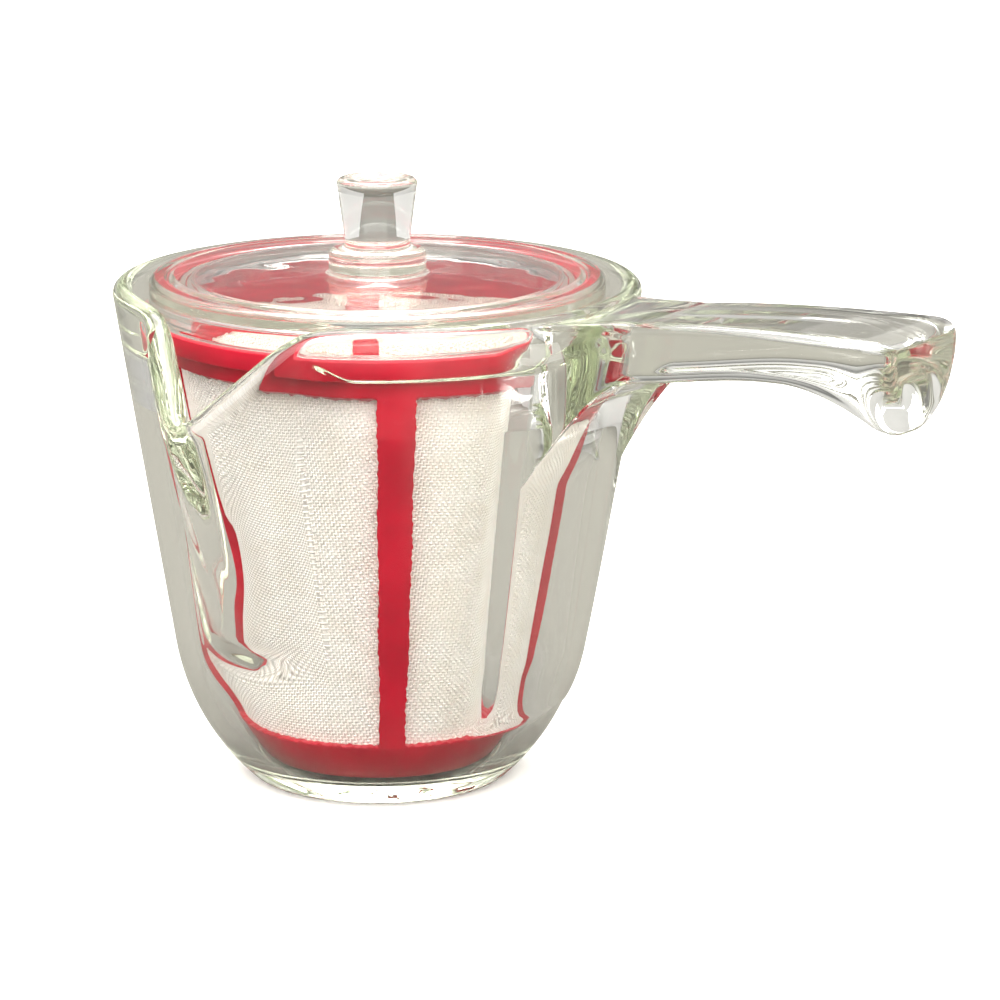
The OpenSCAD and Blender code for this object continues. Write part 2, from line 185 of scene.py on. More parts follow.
class LidSizes(bpy.types.PropertyGroup):
    """Sizes of the glass lid."""

    radius: length("Radius", "Outside radius of the lid", LID_HIGH.x)
    seat: length("Seat", "Height of the face that rests on the strainer", LID_LOW.z + 3 * MM)
    edge_top: length("Edge top", "Height of the bead round the edge", KNOB_LOW.z - 1 * MM)
    bead: length("Bead", "Radius of the bead round the edge", 1.5 * MM)
    groove: length("Groove", "Depth of the groove inside the bead", 0.3 * MM)
    depth: length("Thickness", "Thickness at the middle", 4.5 * MM)
    flat: length("Flat", "Radius of the flat middle", 39.6 * MM)
    flat_top: length("Flat top", "Height of the flat middle", KNOB_LOW.z - 0.6 * MM)
    spigot_radius: length("Spigot radius", "Outside radius of the centring ring", 38.05 * MM)
    spigot_width: length("Spigot width", "Thickness of the centring ring", 1.4 * MM)
    knob_base: length("Knob base", "Radius of the knob's foot", 9.6 * MM)
    knob_base_height: length("Knob base height", "Height of the knob's foot", 4.2 * MM)
    knob_neck: length("Knob neck", "Radius of the knob's neck", 6.2 * MM)
    knob_head: length("Knob head", "Radius of the knob's head", 8 * MM)
    knob_rim: length("Knob rim", "Width of the rim round the hollow in the knob's top", 2.6 * MM)
    knob_dish: length("Knob dish", "Depth of the hollow in the knob's top", 0.8 * MM)


class Finishes(bpy.types.PropertyGroup):
    """Colours of the materials and the stage."""

    pot_tint: colour("Pot tint", "Colour that thick pot glass lets through", "#BAC893")
    pot_density: amount("Pot density", "Strength of the pot's tint", 3.9)
    lid_tint: colour("Lid tint", "Colour that thick lid glass lets through", "#C4D2A2")
    lid_density: amount("Lid density", "Strength of the lid's tint", 5)
    red: colour("Plastic", "Colour of the moulded strainer", "#B80C29")
    net: colour("Net", "Colour of the woven nylon", "#FFFAF1")
    net_shade: colour("Net shade", "Darker threads of the net", "#FAF3E8")
    floor: colour("Floor", "Colour of the floor", "#F7F7F6")
    floor_back: colour("Floor behind", "Grey of the floor behind the pot, seen in the glass", "#777670")
    floor_front: colour("Floor in front", "Grey of the floor in front, seen in the glass", "#464543")


class StageSizes(bpy.types.PropertyGroup):
    """Camera, floor and lights."""

    distance: length("Camera distance", "Distance of the camera from the rim's centre", 0.9)
    azimuth: turn("Azimuth", "Turn of the camera from the beak towards the handle", 36.5)
    elevation: turn("Elevation", "Height of the camera above the rim", 10.79)
    focal: amount("Focal length", "In pixels of the photograph", 4594.6)
    rim_u: amount("Rim across", "Pixel of the rim's centre from the left", 377.6)
    rim_v: amount("Rim down", "Pixel of the rim's centre from the top", 278.4)
    frame_size: amount("Frame", "Pixels across the photograph", 1000)
    floor_size: length("Floor", "Half the width of the floor", 4)
    key: amount("Key light", "Power of the front light", 42, unit="POWER")
    top: amount("Top light", "Power of the top light", 22, unit="POWER")
    fill: amount("Back light", "Power of the back light", 14, unit="POWER")
    sky: amount("Sky", "Strength of the pale surroundings", 2.3)


def ease(x, start, end):
    """Rises from 0 at start to 1 at end, level at both."""
    t = np.clip((x - start) / (end - start), 0, 1)
    return t * t * (3 - 2 * t)


def soft_max(a, b, width):
    """The larger of two values, with the corner between them rounded over a width."""
    return (a + b + np.sqrt((a - b) ** 2 + width**2)) / 2


def soft_min(a, b, width):
    """The smaller of two values, with the corner between them rounded over a width."""
    return -soft_max(-a, -b, width)


def mix(a, b, share):
    """From a at share 0 to b at share 1."""
    return a + (b - a) * share


def rounded(corners, radii, steps=7):
    """A profile through corners, each inner one rounded by an arc of its radius.

    The arc touches both sides at radius * tan(half the turn) from the corner. A point close to each
    arc's ends keeps the straight runs flat when they are shaded smooth.
    """
    # Shares of a side: the most that an arc takes up, and how far on that point stands
    most, close = 0.45, 0.06
    corners = np.array(corners, float)
    rows = [corners[:1]]
    for before, corner, after, radius in zip(corners, corners[1:], corners[2:], radii):
        back, on = before - corner, after - corner
        back_run, on_run = np.hypot(*back), np.hypot(*on)
        back, on = back / back_run, on / on_run
        half = math.acos(np.clip(back @ on, -1, 1)) / 2
        reach = min(radius / math.tan(half), most * back_run, most * on_run)
        share = np.linspace(0, 1, steps)[:, None]
        start, end = corner + back * reach, corner + on * reach
        weight = math.sin(half)
        blend = (1 - share) ** 2 + 2 * weight * share * (1 - share) + share**2
        bend = (1 - share) ** 2 * start + 2 * weight * share * (1 - share) * corner + share**2 * end
        rows.append(corner[None] + back * (reach + close * (back_run - reach)))
        rows.append(bend / blend)
        rows.append(corner[None] + on * (reach + close * (on_run - reach)))
    rows.append(corners[-1:])
    return np.concatenate(rows)


def grid_quads(ids, wrap_rows=False, wrap_columns=False):
    """Four-sided faces between neighbours of a grid of vertex numbers, as a grid of faces."""
    if wrap_rows:
        ids = np.concatenate((ids, ids[:1]), 0)
    if wrap_columns:
        ids = np.concatenate((ids, ids[:, :1]), 1)
    return np.stack((ids[:-1, :-1], ids[:-1, 1:], ids[1:, 1:], ids[1:, :-1]), -1)


def make_piece(name, points, quads, body, material, replaces):
    """Puts points and four-sided faces into a closed smooth mesh that rides on a body."""
    points = np.asarray(points, np.float32).reshape(-1, 3)
    quads = np.asarray(quads, np.int32).reshape(-1, 4)
    mesh = bpy.data.meshes.new(name)
    mesh.vertices.add(len(points))
    mesh.vertices.foreach_set("co", points.ravel())
    mesh.loops.add(quads.size)
    mesh.loops.foreach_set("vertex_index", quads.ravel())
    mesh.polygons.add(len(quads))
    mesh.polygons.foreach_set("loop_start", np.arange(0, quads.size, 4, dtype=np.int32))
    mesh.update(calc_edges=True)
    shell = bmesh.new()
    shell.from_mesh(mesh)
    bmesh.ops.remove_doubles(shell, verts=shell.verts, dist=0.5e-6)
    loose = [v for v in shell.verts if not v.link_faces]
    bmesh.ops.delete(shell, geom=loose, context="VERTS")
    bmesh.ops.recalc_face_normals(shell, faces=shell.faces)
    shell.to_mesh(mesh)
    shell.free()
    mesh.shade_smooth()
    mesh.materials.append(material)
    piece = bpy.data.objects.new(name, mesh)
    bpy.context.scene.collection.objects.link(piece)
    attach(piece, body)
    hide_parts(*replaces)
    return piece


# Materials


def add_node(tree, kind, values=None, links=None, **settings):
    """Adds a node with its settings, its input values and the sockets that feed it."""
    node = tree.nodes.new(kind)
    for key, value in settings.items():
        setattr(node, key, value)
    for key, value in (values or {}).items():
        node.inputs[key].default_value = value
    for key, socket in (links or {}).items():
        tree.links.new(socket, node.inputs[key])
    return node


def new_material(name):
    """An empty node material and its tree."""
    material = bpy.data.materials.new(name)
    material.use_nodes = True
    material.node_tree.nodes.clear()
    return material, material.node_tree


def two_tones(tree, place, size, detail, stops):
    """A colour that wanders between two tones over a real size: noise through a ramp of two stops."""
    noise = add_node(
        tree, "ShaderNodeTexNoise", {"Scale": 1 / size, "Detail": detail}, {"Vector": place}
    )
    ramp = add_node(tree, "ShaderNodeValToRGB", links={"Fac": noise.outputs["Fac"]})
    for element, (position, tone) in zip(ramp.color_ramp.elements, stops):
        element.position = position
        element.color = (*tone, 1)
    return ramp.outputs["Color"]


def uneven_gloss(tree, place, size, detail, low, high):
    """Roughness between two values by a noise of a real size. Also gives the noise, for a bump."""
    noise = add_node(
        tree, "ShaderNodeTexNoise", {"Scale": 1 / size, "Detail": detail}, {"Vector": place}
    )
    gloss = add_node(
        tree, "ShaderNodeMapRange", {"To Min": low, "To Max": high}, {"Value": noise.outputs["Fac"]}
    )
    return gloss.outputs["Result"], noise.outputs["Fac"]


def pressed_glass(name, tint, density):
    """Pressed soda-lime glass, fire-polished: clear where it is thin, green where it is thick.

    Iron in the sand gives the green along long paths. The chill of the mould leaves a faint ripple
    about 14 mm long, stretched up the wall.
    """
    material, tree = new_material(name)
    place = add_node(tree, "ShaderNodeTexCoord").outputs["Object"]
    ripple = add_node(tree, "ShaderNodeMapping", {"Scale": (1, 1, 0.45)}, {"Vector": place})
    noise = add_node(
        tree,
        "ShaderNodeTexNoise",
        {"Scale": 1 / (14 * MM), "Detail": 1.0},
        {"Vector": ripple.outputs["Vector"]},
    )
    bump = add_node(
        tree,
        "ShaderNodeBump",
        {"Strength": 0.5, "Distance": 0.15 * MM},
        {"Height": noise.outputs["Fac"]},
    )
    shader = add_node(
        tree,
        "ShaderNodeBsdfPrincipled",
        {"Base Color": (1, 1, 1, 1), "Roughness": 0.0, "IOR": 1.52, "Transmission Weight": 1},
        {"Normal": bump.outputs["Normal"]},
    )
    absorb = add_node(
        tree, "ShaderNodeVolumeAbsorption", {"Color": (*tint, 1), "Density": density}
    )
    add_node(
        tree,
        "ShaderNodeOutputMaterial",
        links={"Surface": shader.outputs["BSDF"], "Volume": absorb.outputs["Volume"]},
    )
    return material


def moulded_polypropylene(red):
    """Injection-moulded polypropylene: a deep even red with a soft gloss and a fine skin.

    Flow in the mould shifts the tone a little over about 12 mm, and the mould's spark-eroded face
    leaves a grain about 0.5 mm across.
    """
    material, tree = new_material("moulded_polypropylene")
    place = add_node(tree, "ShaderNodeTexCoord").outputs["Object"]
    deep, bright = [c * 0.82 for c in red], [min(1, c * 1.1) for c in red]
    tone = two_tones(tree, place, 12 * MM, 2, ((0.3, deep), (0.7, bright)))
    gloss, grain = uneven_gloss(tree, place, 0.5 * MM, 2, 0.24, 0.42)
    bump = add_node(
        tree, "ShaderNodeBump", {"Strength": 0.25, "Distance": 0.05 * MM}, {"Height": grain}
    )
    shader = add_node(
        tree,
        "ShaderNodeBsdfPrincipled",
        {"IOR": 1.49},
        {"Base Color": tone, "Roughness": gloss, "Normal": bump.outputs["Normal"]},
    )
    add_node(tree, "ShaderNodeOutputMaterial", links={"Surface": shader.outputs["BSDF"]})
    return material


def woven_nylon(pale, shade):
    """Woven nylon net: off-white flattened threads with a dull sheen and an uneven dye.

    The tone wanders over about 6 mm, and fibres about 0.1 mm wide break up the gloss.
    """
    material, tree = new_material("woven_nylon")
    place = add_node(tree, "ShaderNodeTexCoord").outputs["Object"]
    tone = two_tones(tree, place, 6 * MM, 3, ((0.35, shade), (0.6, pale)))
    gloss, _ = uneven_gloss(tree, place, 0.1 * MM, 1, 0.4, 0.65)
    shader = add_node(
        tree,
        "ShaderNodeBsdfPrincipled",
        {
            "IOR": 1.53,
            "Sheen Weight": 0.15,
            "Sheen Roughness": 0.5,
            "Subsurface Weight": 0.3,
            "Subsurface Radius": (1, 0.95, 0.9),
            "Subsurface Scale": 0.15 * MM,
        },
        {"Base Color": tone, "Roughness": gloss},
    )
    add_node(tree, "ShaderNodeOutputMaterial", links={"Surface": shader.outputs["BSDF"]})
    return material


def studio_paper(pale, behind, ahead, front):
    """Matt background paper, white where it is seen, with a greyer sweep for the glass to bend.

    The camera sees clean white paper. Light that comes by way of the glass finds grey paper, with a
    darker patch in front of the pot and to its left, as of a card laid there to give the glass its
    edges. The patch is a product of three fades, by the distance ahead, away and to the right.
    """
    material, tree = new_material("studio_paper")
    place = add_node(tree, "ShaderNodeTexCoord").outputs["Object"]
    right = (-front[1], front[0], 0)
    right_by = add_node(tree, "ShaderNodeVectorMath", {1: right}, {0: place}, operation="DOT_PRODUCT")
    ahead_by = add_node(tree, "ShaderNodeVectorMath", {1: front}, {0: place}, operation="DOT_PRODUCT")
    away = add_node(tree, "ShaderNodeVectorMath", links={0: place}, operation="LENGTH")
    # Each fade's distance, where it starts and ends in metres, and its values there
    fades = ((ahead_by, 0.02, 0.08, 0, 1), (away, 0.25, 0.4, 1, 0), (right_by, 0.02, 0.06, 1, 0))
    patch = None
    for distance, start, end, low, high in fades:
        fade = add_node(
            tree,
            "ShaderNodeMapRange",
            {"From Min": start, "From Max": end, "To Min": low, "To Max": high},
            {"Value": distance.outputs["Value"]},
            interpolation_type="SMOOTHSTEP",
        ).outputs["Result"]
        if patch is None:
            patch = fade
        else:
            both = add_node(tree, "ShaderNodeMath", links={0: patch, 1: fade}, operation="MULTIPLY")
            patch = both.outputs["Value"]
    tone = add_node(tree, "ShaderNodeMix", links={"Factor": patch}, data_type="RGBA")
    tone.inputs["A"].default_value = (*behind, 1)
    tone.inputs["B"].default_value = (*ahead, 1)
    seen = add_node(
        tree,
        "ShaderNodeBsdfPrincipled",
        {"Base Color": (*pale, 1), "Roughness": 0.9, "Specular IOR Level": 0.1},
    )
    bent = add_node(
        tree, "ShaderNodeBsdfDiffuse", {"Roughness": 0.5}, {"Color": tone.outputs["Result"]}
    )
    path = add_node(tree, "ShaderNodeLightPath")
    paper = add_node(
        tree,
        "ShaderNodeMixShader",
        links={0: path.outputs["Is Camera Ray"], 1: bent.outputs["BSDF"], 2: seen.outputs["BSDF"]},
    )
    add_node(tree, "ShaderNodeOutputMaterial", links={"Surface": paper.outputs["Shader"]})
    return material


# Glass pot and handle


class PotForm:
    """The pot's curves, worked out from its sizes. Angles from the beak are in radians."""

    # How far the lip's round leans where it leaves the outside at the tip, and meets the inside at
    # the rim and at the tip
    TIP_LEAN_OUT, RIM_LEAN_IN, TIP_LEAN_IN = np.radians((23, 13, 22))
    # Shares of an arm over which its start and its tip are rounded
    ARM_ROUND, TIP_ROUND = 0.14, 0.1
    # Shares of the beak's half angle between which what is left of an arm fades out along the rim
    ARM_FADE = (2.2, 1.3)
    # Share of the beak's fall over which the lip thickens, and the most that a slant stretches it
    THICKEN, STRETCH_MOST = 0.4, 2
    # Shares of the climb between which the groove below the beak opens into its arms
    OPENING = (0.35, 0.95)
    # Share of the climb over which the prow's foot is rounded
    FOOT_ROUND = 0.07
    # Rows below this height don't follow the beak's falling lip
    STILL = 16 * MM
    # Most that the prow stands out below the arms
    PROW_MOST = 14 * MM
    # Height where the seat's rows and the trough's rows meet again
    JOIN = 74 * MM
    # Half width of the groove at the tip as a share of the beak's half angle, and how much wider its
    # foot is
    GROOVE_WIDTH, GROOVE_FOOT = 0.78, 1.35
    # Shares of the climb between which the trough's foot sinks in, and the depth that it has there
    SINK_IN, FOOT_DEPTH = (-0.03, 0.13), 0.1
    # Shares of the beak's half angle between which the trough gives way to the strainer's seat
    TROUGH_SIDES = (1.45, 0.7)
    # Power of the climb with which the pad thickens, and the depths below the rim where it fades
    PAD_POWER, PAD_FADE = 0.35, (4 * MM, 9 * MM)

    def __init__(self, pot):
        self.pot = pot
        draft = pot.wall_draft
        self.lip_z = pot.height - pot.lip_radius
        self.lip_r = pot.rim_radius - pot.lip_radius
        # The wall is the tangent of the lip's circle at its draft
        self.touch_r = self.lip_r + pot.lip_radius * math.cos(draft)
        self.touch_z = self.lip_z - pot.lip_radius * math.sin(draft)
        # The bowl's circle passes through the base's edge and touches the wall
        self.bowl_r, self.bowl_z = self.bowl_centre()
        self.bowl_top = self.bowl_z - pot.bowl_radius * math.sin(draft)
        # The core's cone touches a smaller circle round the same centre
        self.core_radius = pot.bowl_radius - pot.bowl_wall
        self.core_top = self.bowl_z - self.core_radius * math.sin(pot.core_draft)
        self.core_touch = self.bowl_r + self.core_radius * math.cos(pot.core_draft)
        self.throat_r = pot.seat_radius - pot.seat_width

    def bowl_centre(self):
        """Where a circle through the base's edge touches the wall's line from inside."""
        pot = self.pot
        slope, radius = math.tan(pot.wall_draft), pot.bowl_radius
        # A centre at height z keeps its distance to the wall if its r is offset + slope * z
        offset = self.touch_r - slope * self.touch_z - radius / math.cos(pot.wall_draft)
        a = 1 + slope**2
        b = 2 * slope * (offset - pot.base_radius)
        c = (offset - pot.base_radius) ** 2 - radius**2
        z = (-b + math.sqrt(b * b - 4 * a * c)) / (2 * a)
        return offset + slope * z, z

    def wall(self, z):
        """Outside radius at a height: the bowl's circle below, the wall's cone above."""
        cone = self.touch_r - math.tan(self.pot.wall_draft) * (self.touch_z - z)
        down = np.clip(self.bowl_z - z, 0, self.pot.bowl_radius)
        bowl = self.bowl_r + np.sqrt(self.pot.bowl_radius**2 - down**2)
        return np.where(z > self.bowl_top, cone, bowl)

    def core(self, z):
        """Inside radius at a height: the bowl's circle below, the core's cone above."""
        cone = self.core_touch + math.tan(self.pot.core_draft) * (z - self.core_top)
        down = np.clip(self.bowl_z - z, 0, self.core_radius)
        bowl = self.bowl_r + np.sqrt(self.core_radius**2 - down**2)
        return np.where(z > self.core_top, cone, bowl)

    def lip_line(self, angle):
        """The lip's middle (r, z) and its share of the beak's fall.

        Seen from above, each arm of the beak is a straight line from the rim to the blunt tip, and its
        height falls evenly along it. The share along that line is eased at both ends.
        """
        pot = self.pot
        rim_x = self.lip_r * math.sin(pot.beak_angle)
        rim_y = self.lip_r * math.cos(pot.beak_angle)
        tip_x, tip_y = pot.tip_width / 2, pot.beak_reach - pot.beak_lip
        slope = np.tan(np.minimum(angle, 1))
        share = (rim_x - rim_y * slope) / (rim_x - tip_x + (tip_y - rim_y) * slope)
        share = soft_min(soft_max(share, 0, self.ARM_ROUND), 1, self.TIP_ROUND)
        share = share * ease(angle, *(part * pot.beak_angle for part in self.ARM_FADE))
        r = np.hypot(mix(rim_x, tip_x, share), mix(rim_y, tip_y, share))
        return r, self.lip_z - pot.beak_drop * share, share

    def lip_point(self, angle, lean):
        """The lip's surface (r, z) where it faces a direction in the plane through the pot's axis.

        The lip is a round bar. Where it slants along the beak, that plane cuts it in an oval that is
        longer along the slant, by one over the cosine of the angle between bar and plane's normal.
        """
        step = 0.002
        r, z, share = self.lip_line(angle)
        on_r, on_z, _ = self.lip_line(angle + step)
        back_r, back_z, _ = self.lip_line(np.abs(angle - step))
        run_r, run_z, run = on_r - back_r, on_z - back_z, 2 * step * r
        short = mix(self.pot.lip_radius, self.pot.beak_lip, ease(share, 0, self.THICKEN))
        slant = np.sqrt(run_r**2 + run_z**2 + run**2) / run
        long = short * np.minimum(slant, self.STRETCH_MOST)
        way = np.arctan2(run_z, run_r)
        on, off = long**2 * np.cos(lean - way), short**2 * np.sin(lean - way)
        size = np.hypot(on / long, off / short)
        r = r + (on * np.cos(way) - off * np.sin(way)) / size
        return r, z + (on * np.sin(way) + off * np.cos(way)) / size

    def lip_start(self, angle):
        """Where the lip's round leaves the outside wall: (r, z) and the direction it faces."""
        lean = -mix(self.pot.wall_draft, self.TIP_LEAN_OUT, self.lip_line(angle)[2])
        return *self.lip_point(angle, lean), lean

    def lip_end(self, angle):
        """Where the lip's round meets the inside wall: (r, z) and the direction it faces."""
        lean = math.pi - mix(self.RIM_LEAN_IN, self.TIP_LEAN_IN, self.lip_line(angle)[2])
        return *self.lip_point(angle, lean), lean

    def outside(self, z0, angle, side):
        """Outside wall (r, z) for rows of plain heights z0, by angle from the beak and the handle.

        Rows sink evenly under the beak's falling lip. The prow grows along a straight line from its
        foot to the lip: low down it has the groove's section, and higher up it follows the arms. The
        pad's thickness grows with a root of the height, and it fades at its sides and under the rim.
        """
        pot, still = self.pot, self.STILL
        top_r, top_z, _ = self.lip_start(angle)
        tip_r, tip_z, _ = self.lip_start(np.zeros(1))
        sunk = still + (z0 - still) * (top_z - still) / (self.touch_z - still)
        z = np.where(z0 > still, sunk, z0)
        t = (z - pot.prow_foot) / (top_z - pot.prow_foot)
        arms = (top_r - self.wall(top_z)) * soft_max(t, 0, self.FOOT_ROUND)
        t_tip = (z - pot.prow_foot) / (tip_z - pot.prow_foot)
        swell = (tip_r - self.wall(tip_z)) * soft_max(t_tip, 0, self.FOOT_ROUND)
        swell = np.minimum(self.groove(angle, t_tip) * swell, self.PROW_MOST)
        prow = mix(swell, arms, ease(t, *self.OPENING))
        climb = np.clip((z - pot.pad_foot) / (pot.pad_top - pot.pad_foot), 0, 1)
        sides = ease(side, pot.pad_angle + pot.pad_flank, pot.pad_angle - pot.pad_flank)
        under_rim = ease(z, *(pot.height - depth for depth in self.PAD_FADE))
        pad = pot.pad_proud * climb**self.PAD_POWER * sides * under_rim
        return self.wall(z) + prow + pad, z

    def trough(self, z, angle):
        """Inside wall's radius with the trough: a straight run from its spoon-shaped foot to the lip."""
        foot = self.pot.trough_foot
        end_r, end_z, _ = self.lip_end(angle)
        tip_r, tip_z, _ = self.lip_end(np.zeros(1))
        t = (z - foot) / (end_z - foot)
        arms = self.trough_share(angle) * (end_r - self.core(end_z)) * t
        t_tip = (z - foot) / (tip_z - foot)
        spoon = (tip_r - self.core(tip_z)) * mix(self.FOOT_DEPTH, 1, t_tip)
        spoon = self.groove(angle, t_tip) * spoon
        return self.core(z) + mix(spoon, arms, ease(t, *self.OPENING)) * ease(t, *self.SINK_IN)

    def groove(self, angle, climb):
        """Section of the beak low down: a round hollow, level at its middle and at both edges.

        It is widest at its foot and narrows evenly as it climbs to the tip.
        """
        width = self.GROOVE_WIDTH * self.pot.beak_angle
        width = width * mix(self.GROOVE_FOOT, 1, np.clip(climb, 0, 1))
        t = np.clip(angle / width, 0, 1)
        return (1 - t * t) ** 1.5

    def trough_share(self, angle):
        """1 in the trough, 0 round the rest of the wall, where the strainer's seat is."""
        return ease(angle, *(part * self.pot.beak_angle for part in self.TROUGH_SIDES))

    def seat_rows(self):
        """The inside profile away from the beak: lip, flared wall, seat, throat and core."""
        pot = self.pot
        end_r, end_z, _ = self.lip_end(math.pi)
        throat_z = self.core_top + (self.throat_r - self.core_touch) / math.tan(pot.core_draft)
        corners = [
            (end_r, end_z),
            (pot.seat_radius, pot.seat_height),
            (self.throat_r, pot.seat_height),
            (self.throat_r, throat_z),
            (self.core(self.JOIN), self.JOIN),
        ]
        return rounded(corners, [0.8 * MM, 0.7 * MM, 1.5 * MM], 6)


def pot_columns(patch):
    """Angles round the pot, starting at the handle's patch: close together at patch and beak.

    Also gives how many of them the patch takes up.
    """
    beak, beak_half = 1.5 * math.pi, math.radians(25)
    stops = [-patch, patch, beak - beak_half, beak + beak_half, 2 * math.pi - patch]
    counts = [44, 140, 104, 34]
    runs = [np.linspace(a, b, n, endpoint=False) for a, b, n in zip(stops, stops[1:], counts)]
    return np.concatenate(runs), counts[0]


def edge_run(share, start, end, run):
    """One side of a rounded rectangle, from the middle of one corner's arc to that of the next.

    Gives the distance along the side and out from it, for shares of its length.
    """
    quarter = math.pi / 4
    total = quarter * (start + end) + run - start - end
    far = share * total
    turn_a = np.pi * 0.75 - far / start
    turn_b = np.pi * 0.5 - (far - quarter * start - (run - start - end)) / end
    in_start = far < quarter * start
    in_end = far > total - quarter * end
    along = np.where(in_start, start + start * np.cos(turn_a), start + far - quarter * start)
    along = np.where(in_end, run - end + end * np.cos(turn_b), along)
    out = np.where(in_start, start * np.sin(turn_a) - start, 0)
    out = np.where(in_end, end * np.sin(turn_b) - end, out)
    return along, out


def bar_sections(bar, wide, tall):
    """Rounded rectangles along the handle, each from its lower -Y corner round by +Y.

    The top rises as a quarter sine, the underside thins to a waist and swells as a square into the
    hoof, and the end is drawn in by a quarter turn.
    """
    from_x = bar.reach - bar.end_corner
    swing = np.linspace(0, math.pi / 2, 11)[1:]
    x = np.concatenate((np.linspace(bar.root_x, from_x, 40), from_x + bar.end_corner * np.sin(swing)))
    drawn = np.concatenate((np.zeros(40), 1 - np.cos(swing)))
    t = (x - bar.root_x) / (bar.reach - bar.root_x)
    top = bar.top + bar.rise * np.sin(t**0.8 * math.pi / 2)
    hoof = np.clip((x - bar.reach + bar.hoof_length) / (bar.hoof_length - bar.hoof_toe), 0, 1) ** 2
    depth = mix(bar.root_depth, bar.waist_depth, ease(t, 0, 0.5))
    depth = depth + (bar.hoof_depth - bar.waist_depth) * hoof
    half = mix(bar.root_width, bar.end_width, t) / 2 - bar.end_corner * drawn
    high = top - bar.edge * drawn
    low = top - depth + (depth - bar.edge - bar.end_face) * drawn
    upper = bar.edge * (1 - drawn / 2)
    lower = upper + (bar.hoof_edge - bar.edge) * hoof
    upper = np.minimum(upper, 0.49 * (high - low))
    lower = np.minimum(lower, np.minimum(0.98 * half, 0.98 * (high - low - upper)))
    x, half, high, low, upper, lower = (v[:, None] for v in (x, half, high, low, upper, lower))
    across = np.linspace(0, 1, wide, endpoint=False)[None]
    up = np.linspace(0, 1, tall, endpoint=False)[None]
    below_y, below_z = edge_run(across, lower, lower, 2 * half)
    right_z, right_y = edge_run(up, lower, upper, high - low)
    above_y, above_z = edge_run(across, upper, upper, 2 * half)
    left_z, left_y = edge_run(up, upper, lower, high - low)
    y = np.concatenate((below_y - half, half + right_y, half - above_y, -half - left_y), 1)
    z = np.concatenate((low - below_z, low + right_z, high + above_z, high - left_z), 1)
    loops = np.stack((np.broadcast_to(x, y.shape), y, z), -1)
    middle = loops[-1].mean(0)
    caps = [middle + (loops[-1] - middle) * k for k in (0.8, 0.55, 0.3, 0.0)]
    return np.concatenate((loops, np.stack(caps)))


def even_out(values, reach):
    """A closed row of vectors, each averaged with its neighbours up to a reach, nearer ones more."""
    steps = range(-reach, reach + 1)
    return sum(np.roll(values, step, 0) * (1 + math.cos(math.pi * step / (reach + 1))) for step in steps)


def root_loops(bar, edge, inward, first, wide, tall, steps=26):
    """The handle's root: curves that leave the wall along it and arrive along the bar.

    Each curve is a cubic with given ends and end directions. The pull at the wall is 1.66 times the
    fillet's radius, which makes a quarter round: large below, small at the rim. The run is the pull
    at the bar, along it.
    """
    low_run, side_run, top_run = 30 * MM, 24 * MM, 20 * MM
    climb = np.linspace(0, 1, tall, endpoint=False)
    side = mix(bar.side_pull, bar.rim_pull, ease(climb, 0.75, 1))
    across = np.abs(np.linspace(-1, 1, wide, endpoint=False))
    below = mix(bar.low_pull, bar.side_pull, ease(across, 0.3, 0.95))
    above = np.full(wide, bar.rim_pull)
    pull = np.concatenate((below, side, above, side[::-1]))[:, None]
    run = np.repeat((low_run, side_run, top_run, side_run), (wide, tall, wide, tall))
    arrive = run[:, None] * np.array([1.0, 0, 0])
    u = np.linspace(0, 1, steps)[1:-1, None, None]
    start = (1 + 2 * u) * (1 - u) ** 2 * edge + u * (1 - u) ** 2 * pull * inward
    return start + u * u * (3 - 2 * u) * first - u * u * (1 - u) * arrive


def outside_parts(form, beak, side):
    """Rows (r, z) of the base, its rounded edge and the wall, and the wall's plain heights."""
    pot = form.pot
    flat_edge = pot.base_radius - pot.heel
    rise = np.linspace(0, 1, 5)[1:, None]
    flat_r = np.linspace(0, flat_edge, 7)[:, None]
    edge_r = mix(flat_edge, form.wall(pot.heel), rise)
    bowl_z = np.linspace(2.2 * pot.heel, form.bowl_top, 20)[:, None]
    wall_z = np.linspace(form.bowl_top, form.touch_z, 58)[1:, None]
    heights = np.concatenate((bowl_z, wall_z))
    wall = form.outside(heights, beak, side)
    return [(flat_r, 0 * flat_r), (edge_r, rise**2 * pot.heel), wall], heights


def seat_part(form, beak):
    """Rows (r, z) from the lip to the join: the strainer's seat, with a straight trough in the beak."""
    pot = form.pot
    seat = form.seat_rows()[1:]
    run = np.concatenate(([0], np.cumsum(np.hypot(*np.diff(seat, axis=0).T))))
    down = mix(1 / len(seat), 1, (run / run[-1])[:, None])
    end_r, end_z, _ = form.lip_end(beak)
    plain_r, plain_z, _ = form.lip_end(math.pi)
    fade = np.clip((seat[:, 1:] - pot.seat_height) / (plain_z - pot.seat_height), 0, 1)
    seat_r = seat[:, :1] + (end_r - plain_r) * fade
    seat_z = seat[:, 1:] + (end_z - plain_z) * fade
    trough_r = mix(end_r, form.trough(form.JOIN, beak), down)
    trough_z = mix(end_z, form.JOIN, down)
    share = form.trough_share(beak)
    return mix(seat_r, trough_r, share), mix(seat_z, trough_z, share)


